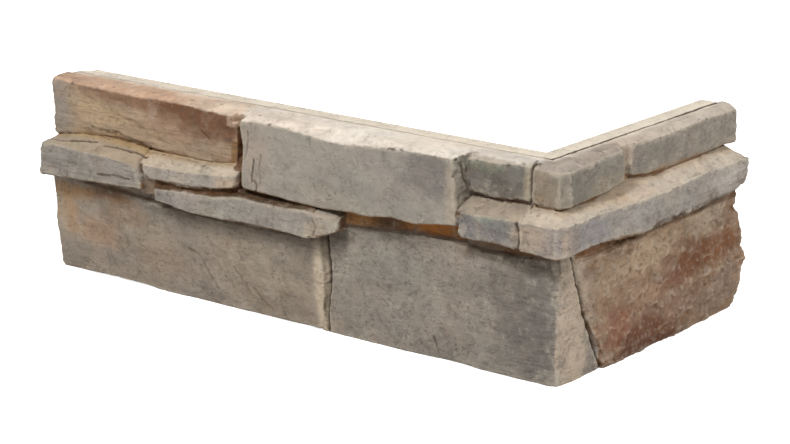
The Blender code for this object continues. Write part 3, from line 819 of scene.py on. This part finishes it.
def crumbly_joint_shade(points, places, depth, height):
    """How far each point is in the joint above the crumbly stone, unevenly, where painted shade with brown is
    put.
    """
    share = ease(places, 94, 102) * ease(height / MM, 87.5, 90.0)
    share *= (1 - ease(height / MM, 98, 101)) * (depth < 0.0445)
    return share * (0.6 + 0.4 * ease(swirl(points, 0.018, 0.018, 48), -0.2, 0.3))


def stain_and_shade_at(places, depth, height, stone, outside, upward, bend):
    """How much brown each point gets, partly stain and partly painted shade: hollows, undersides and the
    sides of deep joints get it.
    """
    behind = FACE_DEPTH[stone] - depth / MM
    sides = 1 - ease(upward, 0.35, 0.85)
    hollow = ease(-bend, 0.12, 0.8)
    walls = ease(behind, 2.5, 8.0) * sides * (height < 0.156)
    joint = ease(outside, -0.0004, 0.0016) * sides * ease(behind, 0.5, 3.0)
    under = ease(-upward, 0.25, 0.8) * (height > 0.004)
    stain = np.maximum(np.maximum(joint * 0.9, walls * 0.85), np.maximum(under * 0.7, hollow * 0.55))
    return np.clip(stain, 0, 1) * (depth > 0.017) * (places > LEFT_END) * (places < RIGHT_END)


def paint(mesh):
    """Write each point's colour, how much stain and painted shade it gets, how calm and layered it is, and
    how dark its cracks are.
    """
    points, normals = read_vertices(mesh)
    along, depth, height = unroll(points)
    places = along / MM
    upward = normals[:, 2]
    up_facing = ease(upward, 0.35, 0.85)
    bend = np.sum((points - relaxed(mesh, points, 12)) * normals, axis=1) / MM
    stone, outside = which_stone(along, height)
    stone = ledge_owners(stone, along, height, upward > 0.35)
    colours = np.array([[hex_colour(text) for text in PALETTE[name][:4]] for name in NAMES])[stone]
    ragged = swirl(points, 0.012, 0.009, 43) * 0.35
    tone = stone_tones(points, places, height, colours, ragged)
    film_and_top_light, cream = cement_film_and_top_light(points, along, depth, height, stone, up_facing, colours[:, 3])

    # Behind each ledge, at the foot of the stone above, the film turns golden, partly stain and partly
    # painted shade in that corner. The film itself is partly painted light from above.
    behind_foot = np.interp(places, *zip(*FOOT_LINE)) - depth / MM
    golden_shade = WARMTH[stone] * ease(behind_foot, -5.0, 0.5) * (height < 0.138)
    tone = blended(tone, blended(cream, GOLDEN_FILM_AND_SHADE, golden_shade), film_and_top_light)
    # A golden line at the foot of some upper stones, partly stain and partly painted shadow of the gap under
    # them
    foot_shade = UPPER_FOOT[stone] * ease(outside, -0.0016, -0.0002) * (height < 0.1365)
    tone = blended(tone, GOLDEN_FOOT_SHADE, 0.8 * foot_shade * (1 - up_facing) * (height > 0.105))

    # The gap above the low ledge gets painted shade in brown. The one between the tall stones is rusty with
    # painted shade, and its top is bridged.
    shaded = ledge_gap_shade(places, depth, height)
    tone = blended(tone, LEDGE_GAP_SHADE, shaded)
    between = in_place(TALL_GAP, along, height) * (depth < 0.0455) * 1.0
    film_and_top_light *= (1 - shaded) * (1 - 0.9 * between)
    tone = blended(tone, RUSTY_GAP_SHADE, between)
    bridge = in_place(BRIDGE, along, height) * (1 - up_facing)
    tone = blended(tone, BRIDGE_TONE, 0.8 * bridge)

    # Some places get less of the stain and painted shade, and edges are rubbed paler, but not on the left
    # stone
    stain = stain_and_shade_at(places, depth, height, stone, outside, upward, bend)
    stain *= 1 - 0.85 * in_place(NARROW_STRIP, along, height)
    # The left lower stone's end keeps a painted highlight, so it gets little of the brown
    stain *= 1 - 0.9 * in_place(PALE_END, along, height) * (depth > 0.030)
    stain *= 1 - 0.75 * in_place(BROKEN_SIDE, along, height)
    stain *= 1 - 0.65 * in_place(LEFT_RECESS, along, height) * (depth < 0.0525)
    stain *= 1 - 0.85 * bridge
    rubbed = ease(bend, 0.12, 0.7) * 0.30 * (stone != NAMES.index("A1"))
    tone = blended(tone, RUBBED_EDGE, rubbed)

    # The open gap shows its brown bed with painted shade in its middle, the lower stones get painted shadow
    # just under the ledges, and the joint above the crumbly stone gets painted shade with brown, darker
    # further on
    opened = open_gap(places, depth, height)
    bed = GAP_BED
    for middle, reach, text in GAP_COLOURS:
        bed = blended(bed, text, np.exp(-((places - middle) / reach) ** 2))
    tone = blended(tone, bed, opened)
    tone = blended(tone, LEDGE_SHADE, under_ledges(places, depth, height, ragged))
    beneath = crumbly_joint_shade(points, places, depth, height)
    tone = blended(tone, blended(NEAR_JOINT_SHADE, FAR_JOINT_SHADE, ease(places, 128, 165)), beneath)
    stain *= (1 - 0.8 * opened) * (1 - 0.7 * beneath)

    # Cracks are dark, and so are pits along the top edges
    _, dark = cracks_at(points, along, depth, height, upward > 0.6)
    dark *= depth > 0.022
    pits = ease(swirl(points, 0.0034, 0.0034, 51), 0.45, 0.6) * ease(bend, 0.1, 0.4)
    dark = np.maximum(dark, pits * 0.7 * (height > 0.145) * (depth > 0.028))

    write_colour(mesh, "tone", tone)
    write_value(mesh, "stain", stain)
    calm = np.array([CALM.get(name, 0.2) for name in NAMES])[stone]
    write_value(mesh, "calm", np.maximum(film_and_top_light * 0.6, calm))
    write_value(mesh, "dark", dark)
    layered = np.array([ROUGHNESS[name][1] for name in NAMES])[stone] / 0.6
    layered += 0.8 * (stone == NAMES.index("C2")) * ease(along, -0.060, 0.010) * (along < 0.036)
    write_value(mesh, "layered", layered * (1 - up_facing))


def write_colour(mesh, name, colours):
    layer = mesh.color_attributes.new(name, "FLOAT_COLOR", "POINT")
    with_alpha = np.concatenate([np.clip(colours, 0, 1), np.ones((len(colours), 1))], axis=1)
    layer.data.foreach_set("color", with_alpha.ravel())


def write_value(mesh, name, values):
    layer = mesh.attributes.new(name, "FLOAT", "POINT")
    layer.data.foreach_set("value", values.astype(np.float64))


class Nodes:
    """Short ways to add and join the nodes of a material or a world, beside its own shader."""

    def __init__(self, owner, shader):
        owner.use_nodes = True
        self.tree = owner.node_tree
        self.shader = self.tree.nodes[shader]

    def fill(self, node, inputs):
        """Give a node's inputs values, or links from outputs."""
        for name, value in inputs.items():
            if isinstance(value, bpy.types.NodeSocket):
                self.tree.links.new(value, node.inputs[name])
            else:
                node.inputs[name].default_value = value

    def add(self, kind, inputs, output, **settings):
        """Add a node, and give back one of its outputs."""
        node = self.tree.nodes.new("ShaderNode" + kind)
        for name, value in settings.items():
            setattr(node, name, value)
        self.fill(node, inputs)
        return node.outputs[output]

    def attribute(self, name, output="Fac"):
        return self.add("Attribute", {}, output, attribute_name=name)

    def place(self):
        return self.add("TexCoord", {}, "Object")

    def stretched(self, scale):
        return self.add("Mapping", {"Vector": self.place(), "Scale": scale}, "Vector")

    def noise(self, scale, detail=3.0, rough=0.6, vector=None):
        inputs = {"Vector": vector or self.place(), "Scale": scale, "Detail": detail, "Roughness": rough}
        return self.add("TexNoise", inputs, "Fac")

    def ramp(self, value, low, high, to_low=0.0, to_high=1.0):
        inputs = {"Value": value, "From Min": low, "From Max": high, "To Min": to_low, "To Max": to_high}
        return self.add("MapRange", inputs, "Result", interpolation_type="SMOOTHSTEP")

    def mix(self, share, first, second):
        return self.add("Mix", {"Factor": share, "A": first, "B": second}, "Result", data_type="RGBA")

    def sums(self, first, second, operation="ADD"):
        return self.add("Math", {0: first, 1: second}, "Value", operation=operation)

    def bump(self, height, distance, strength, normal=None):
        inputs = {"Height": height, "Distance": distance, "Strength": strength}
        if normal:
            inputs["Normal"] = normal
        return self.add("Bump", inputs, "Normal")


def rgba(text):
    return (*hex_colour(text), 1.0)


def groove_line(nodes):
    """How dark the hairline groove is: 1 on its line in the top, fading out unevenly beside it."""
    across, along, up = [nodes.add("SeparateXYZ", {0: nodes.place()}, axis) for axis in range(3)]
    x = nodes.sums(across, CORNER_X, "SUBTRACT")
    y = nodes.sums(CORNER_Y, along, "SUBTRACT")
    depth = nodes.sums(x, y, "MAXIMUM")
    wander = nodes.ramp(nodes.noise(90), 0.3, 0.7, -0.0006, 0.0006)
    offset = nodes.sums(nodes.sums(depth, GROOVE_FROM_BACK, "SUBTRACT"), wander, "ADD")
    reach = nodes.ramp(nodes.noise(26), 0.38, 0.62, 0.0009, 0.0022)
    share = nodes.sums(nodes.sums(offset, 0.0, "ABSOLUTE"), reach, "DIVIDE")
    line = nodes.ramp(share, 1.0, 0.35)
    strength = nodes.ramp(nodes.sums(x, y, "SUBTRACT"), -0.01, 0.0, GROOVE_LONG, GROOVE_SHORT)
    line = nodes.sums(line, strength, "MULTIPLY")
    return nodes.sums(line, nodes.ramp(up, HEIGHT - 0.0035, HEIGHT - 0.0015), "MULTIPLY")


# What the mottling mixes in, one after the other: which noise, the value of it where the colour starts and
# the one where it is full, how strong it is then, and the colour
MOTTLING = (
    ("clouds", 0.50, 0.70, 0.50, "#b5aa9a"),
    ("clouds", 0.50, 0.30, 0.50, "#655d55"),
    ("tint", 0.52, 0.75, 0.22, "#a88a76"),
    ("tint", 0.48, 0.25, 0.18, "#7c827c"),
    ("grain", 0.54, 0.70, 0.32, "#c0b4a2"),
    ("grain", 0.48, 0.35, 0.58, "#4f463e"),
)

# Fine broken lines, specks and level streaks
FINE_LINE = "#3d332b"
SPECK = "#3c332b"
STREAK = "#564a40"

# Brown for stain and painted shade, the groove's dark line and the painted shade in the cracks
STAIN_AND_SHADE = "#694525"
GROOVE_DARK = "#3a2515"
CRACK_SHADE = "#22150c"

# How strong the groove's line is along the long leg and along the short one
GROOVE_LONG = 0.32
GROOVE_SHORT = 0.9


def stone_material():
    """Matt stone: painted tone, cloudy mottling, fine broken grain, level striations, stain with painted
    shade, and cracks.
    """
    material = bpy.data.materials.new("cast_stone")
    nodes = Nodes(material, "Principled BSDF")
    colour = nodes.attribute("tone", "Color")

    # Mottling: soft clouds and tints, then a broken grain that is finer and drawn out level
    grain = nodes.noise(1.0, 8, 0.78, nodes.stretched((230, 230, 290)))
    noises = {"clouds": nodes.noise(70, 8, 0.66), "tint": nodes.noise(48, 5), "grain": grain}
    for name, start, full, strength, text in MOTTLING:
        colour = nodes.mix(nodes.ramp(noises[name], start, full, 0.0, strength), colour, rgba(text))
    veins = nodes.noise(1.0, 5, 0.66, nodes.stretched((130, 130, 190)))
    away = nodes.sums(nodes.sums(veins, 0.5, "SUBTRACT"), 0.0, "ABSOLUTE")
    patchy = nodes.ramp(nodes.noise(60), 0.46, 0.58)
    breaks = nodes.sums(nodes.ramp(away, 0.014, 0.0, 0.0, 0.60), patchy, "MULTIPLY")
    colour = nodes.mix(breaks, colour, rgba(FINE_LINE))
    specks = nodes.noise(700)
    colour = nodes.mix(nodes.ramp(specks, 0.38, 0.30, 0.0, 0.70), colour, rgba(SPECK))

    # The mottling is weaker on the smoother stones and under the pale film, which is partly painted light
    # from above
    colour = nodes.mix(nodes.attribute("calm"), colour, nodes.attribute("tone", "Color"))

    # Fine level striations on the layered stones
    striations = nodes.noise(1.0, 5, 0.65, nodes.stretched((45, 45, 560)))
    layered = nodes.attribute("layered")
    streak = nodes.sums(nodes.ramp(striations, 0.50, 0.34, 0.0, 0.35), layered, "MULTIPLY")
    colour = nodes.mix(streak, colour, rgba(STREAK))

    # Brown in the hollows and joints, partly stain and partly painted shade, and the darkness of the groove
    # and the cracks
    uneven = nodes.ramp(nodes.noise(160, 4), 0.3, 0.7, 0.8, 1.1)
    stain = nodes.sums(nodes.attribute("stain"), uneven, "MULTIPLY")
    colour = nodes.mix(stain, colour, rgba(STAIN_AND_SHADE))
    colour = nodes.mix(groove_line(nodes), colour, rgba(GROOVE_DARK))
    colour = nodes.mix(nodes.attribute("dark"), colour, rgba(CRACK_SHADE))

    # The surface is matt, and its relief is finer than the mesh
    rough = nodes.ramp(grain, 0.3, 0.7, 0.84, 0.97)
    normal = nodes.bump(grain, 0.0022, 1.0)
    normal = nodes.bump(nodes.sums(breaks, -1.0, "MULTIPLY"), 0.0008, 0.8, normal)
    normal = nodes.bump(specks, 0.0004, 0.6, normal)
    normal = nodes.bump(nodes.sums(striations, layered, "MULTIPLY"), 0.0010, 0.7, normal)
    nodes.fill(nodes.shader, {"Base Color": colour, "Roughness": rough, "Specular IOR Level": 0.25,
                              "Normal": normal})
    return material


# Floor, light and camera

# The floor: half its width, its grey, and how much of its white is its own, for the camera only
FLOOR_REACH = 6.0
FLOOR_GREY = 0.82
FLOOR_GLOW = 0.78

# The lamps: name, place, aim, size and power, and the strength of the light from all around
LAMPS = (
    ("key", (0.35, -1.35, 1.60), (0, 0, 0.08), 0.50, 42),
    ("side", (1.60, 0.30, 1.05), (0.2, 0, 0.08), 0.90, 19),
    ("overhead", (0.1, 0.0, 2.1), (0.1, 0, 0.08), 1.2, 5),
)
ROOM_LIGHT = 0.22

# The camera: its lens and sensor in millimetres, its place from the inside corner, and how far in degrees it
# looks down and is turned
LENS = 111.7
SENSOR_WIDTH = 36.0
CAMERA_AWAY = (0.9505, -1.3920, 0.5884)
LOOKS_DOWN = 15.90
TURNED = 37.98


def seen_directly(nodes):
    """1 for a ray from the camera, or one that a mirror or glass sends on, and 0 for other light."""
    share = nodes.add("LightPath", {}, "Is Camera Ray")
    for kind in ("Is Glossy Ray", "Is Transmission Ray"):
        share = nodes.sums(share, nodes.add("LightPath", {}, kind), "MAXIMUM")
    return share


def floor_material():
    """A pale floor that shows white to the camera and still takes the panel's shadow."""
    material = bpy.data.materials.new("floor")
    nodes = Nodes(material, "Principled BSDF")
    nodes.fill(nodes.shader, {"Base Color": (FLOOR_GREY,) * 3 + (1,), "Roughness": 1.0,
                              "Specular IOR Level": 0.0})
    strength = nodes.sums(seen_directly(nodes), FLOOR_GLOW, "MULTIPLY")
    glow = nodes.add("Emission", {"Color": (1, 1, 1, 1), "Strength": strength}, 0)
    both = nodes.add("AddShader", {0: nodes.shader.outputs[0], 1: glow}, 0)
    nodes.fill(nodes.tree.nodes["Material Output"], {"Surface": both})
    return material


def add_floor():
    mesh = bpy.data.meshes.new("floor")
    corners = [(x * FLOOR_REACH, y * FLOOR_REACH, 0) for x, y in ((-1, -1), (1, -1), (1, 1), (-1, 1))]
    mesh.from_pydata(corners, [], [(0, 1, 2, 3)])
    mesh.materials.append(floor_material())
    floor = add_object("floor", mesh)


def add_lamp(name, place, aim, size, power):
    data = bpy.data.lights.new(name, "AREA")
    data.shape = "DISK"
    data.size = size
    data.energy = power
    lamp = add_object(name, data)
    lamp.location = place
    lamp.rotation_euler = (Vector(aim) - Vector(place)).to_track_quat("-Z", "Y").to_euler()


def add_light():
    world = bpy.data.worlds.new("studio")
    bpy.context.scene.world = world
    nodes = Nodes(world, "Background")
    strength = nodes.ramp(seen_directly(nodes), 0.0, 1.0, ROOM_LIGHT)
    nodes.fill(nodes.shader, {"Color": (1, 1, 1, 1), "Strength": strength})
    for lamp in LAMPS:
        add_lamp(*lamp)


def add_camera():
    """The photograph's viewpoint: a long lens, from the right and a little above."""
    data = bpy.data.cameras.new("camera")
    data.lens = LENS
    data.sensor_width = SENSOR_WIDTH
    data.clip_start = 0.05
    camera = add_object("camera", data)
    camera.location = (CORNER_X + CAMERA_AWAY[0], CORNER_Y + CAMERA_AWAY[1], CAMERA_AWAY[2])
    camera.rotation_euler = Euler((math.radians(90 - LOOKS_DOWN), 0, math.radians(TURNED)))
    bpy.context.scene.camera = camera


def main():
    bpy.context.scene.view_settings.view_transform = "Standard"
    add_camera()
    mesh = casting_mesh(frame["nodes"]["cladding_corner"])
    paint(mesh)
    mesh.materials.clear()
    mesh.materials.append(stone_material())
    casting = add_object("stone_casting", mesh)
    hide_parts("cladding_corner")
    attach(casting, "root")
    add_floor()
    add_light()


main()
